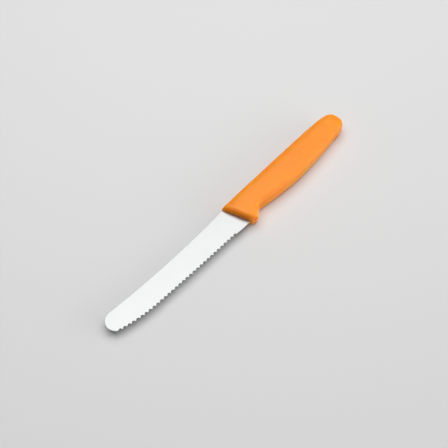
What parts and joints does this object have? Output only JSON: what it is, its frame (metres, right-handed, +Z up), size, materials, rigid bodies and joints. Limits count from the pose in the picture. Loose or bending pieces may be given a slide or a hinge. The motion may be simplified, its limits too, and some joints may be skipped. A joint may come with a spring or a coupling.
{
  "type": "tomato knife",
  "caption": "Small kitchen knife with a straight scalloped blade and round end for slicing tomatoes, and a moulded plastic handle with a finger guard.",
  "frame": {"origin": "under the middle of the whole knife, on the plane that the knife's flat side rests on", "axes": "+X from the blade to the butt of the handle, +Y to the knife's back with the cutting edge towards -Y, +Z up through the thickness, away from the ground face of the scallops"},
  "size_m": [0.2226, 0.0226, 0.0114],
  "materials": {
    "blade_steel": "satin",
    "handle_plastic": "fine satin texture"
  },
  "bodies": {
    "root": {"blade": "blade_steel", "handle": "handle_plastic"}
  },
  "joints": []
}
